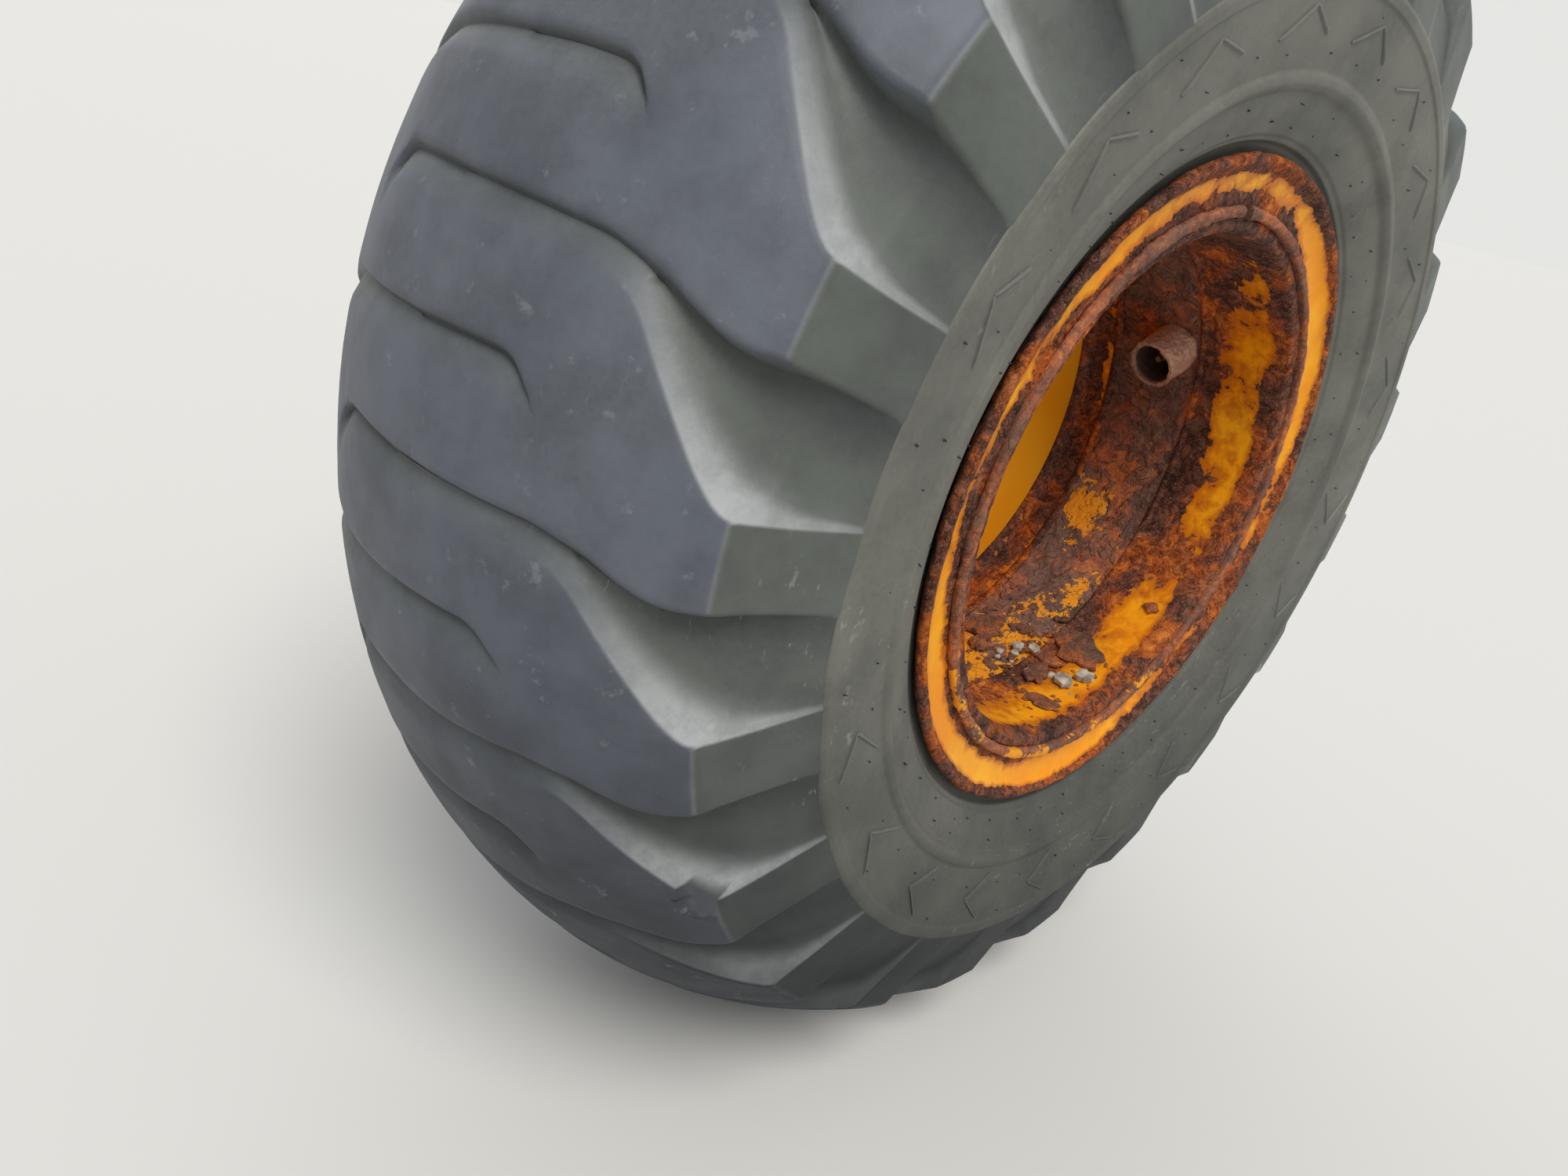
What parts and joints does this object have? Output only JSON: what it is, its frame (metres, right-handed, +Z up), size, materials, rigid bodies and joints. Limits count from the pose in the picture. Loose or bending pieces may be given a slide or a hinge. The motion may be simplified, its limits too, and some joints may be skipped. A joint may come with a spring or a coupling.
{
  "type": "wheel of a wheel loader",
  "caption": "Wheel of a loader: wide traction tyre on a multi-piece rim with a deep-set welded disc, valve guard pipe and a lock ring.",
  "frame": {"origin": "centre of the wheel disc's mounting face, on the wheel's axis", "axes": "+Y along the wheel's axis towards the machine, so the open dished face looks along -Y; +Z up; +X forward, with the valve guard on the +X side"},
  "size_m": [1.5426, 0.62, 1.5432],
  "materials": {
    "tyre_rubber": "worn, dusty rubber",
    "painted_rim": "orange-yellow paint, flaking and rusted",
    "rusted_steel": "scaled brown rust over steel",
    "valve_brass": "dull, dirty brass"
  },
  "bodies": {
    "root": {"tyre": "tyre_rubber", "outer_side_ring": "painted_rim", "inner_side_ring": "painted_rim", "rim_gutter_ring": "painted_rim", "rim_centre_band": "rusted_steel", "rim_back_section": "painted_rim", "bead_seat_band": "rusted_steel", "lock_ring": "rusted_steel", "wheel_disc": "painted_rim", "valve_guard": "rusted_steel", "valve": "valve_brass"}
  },
  "joints": []
}
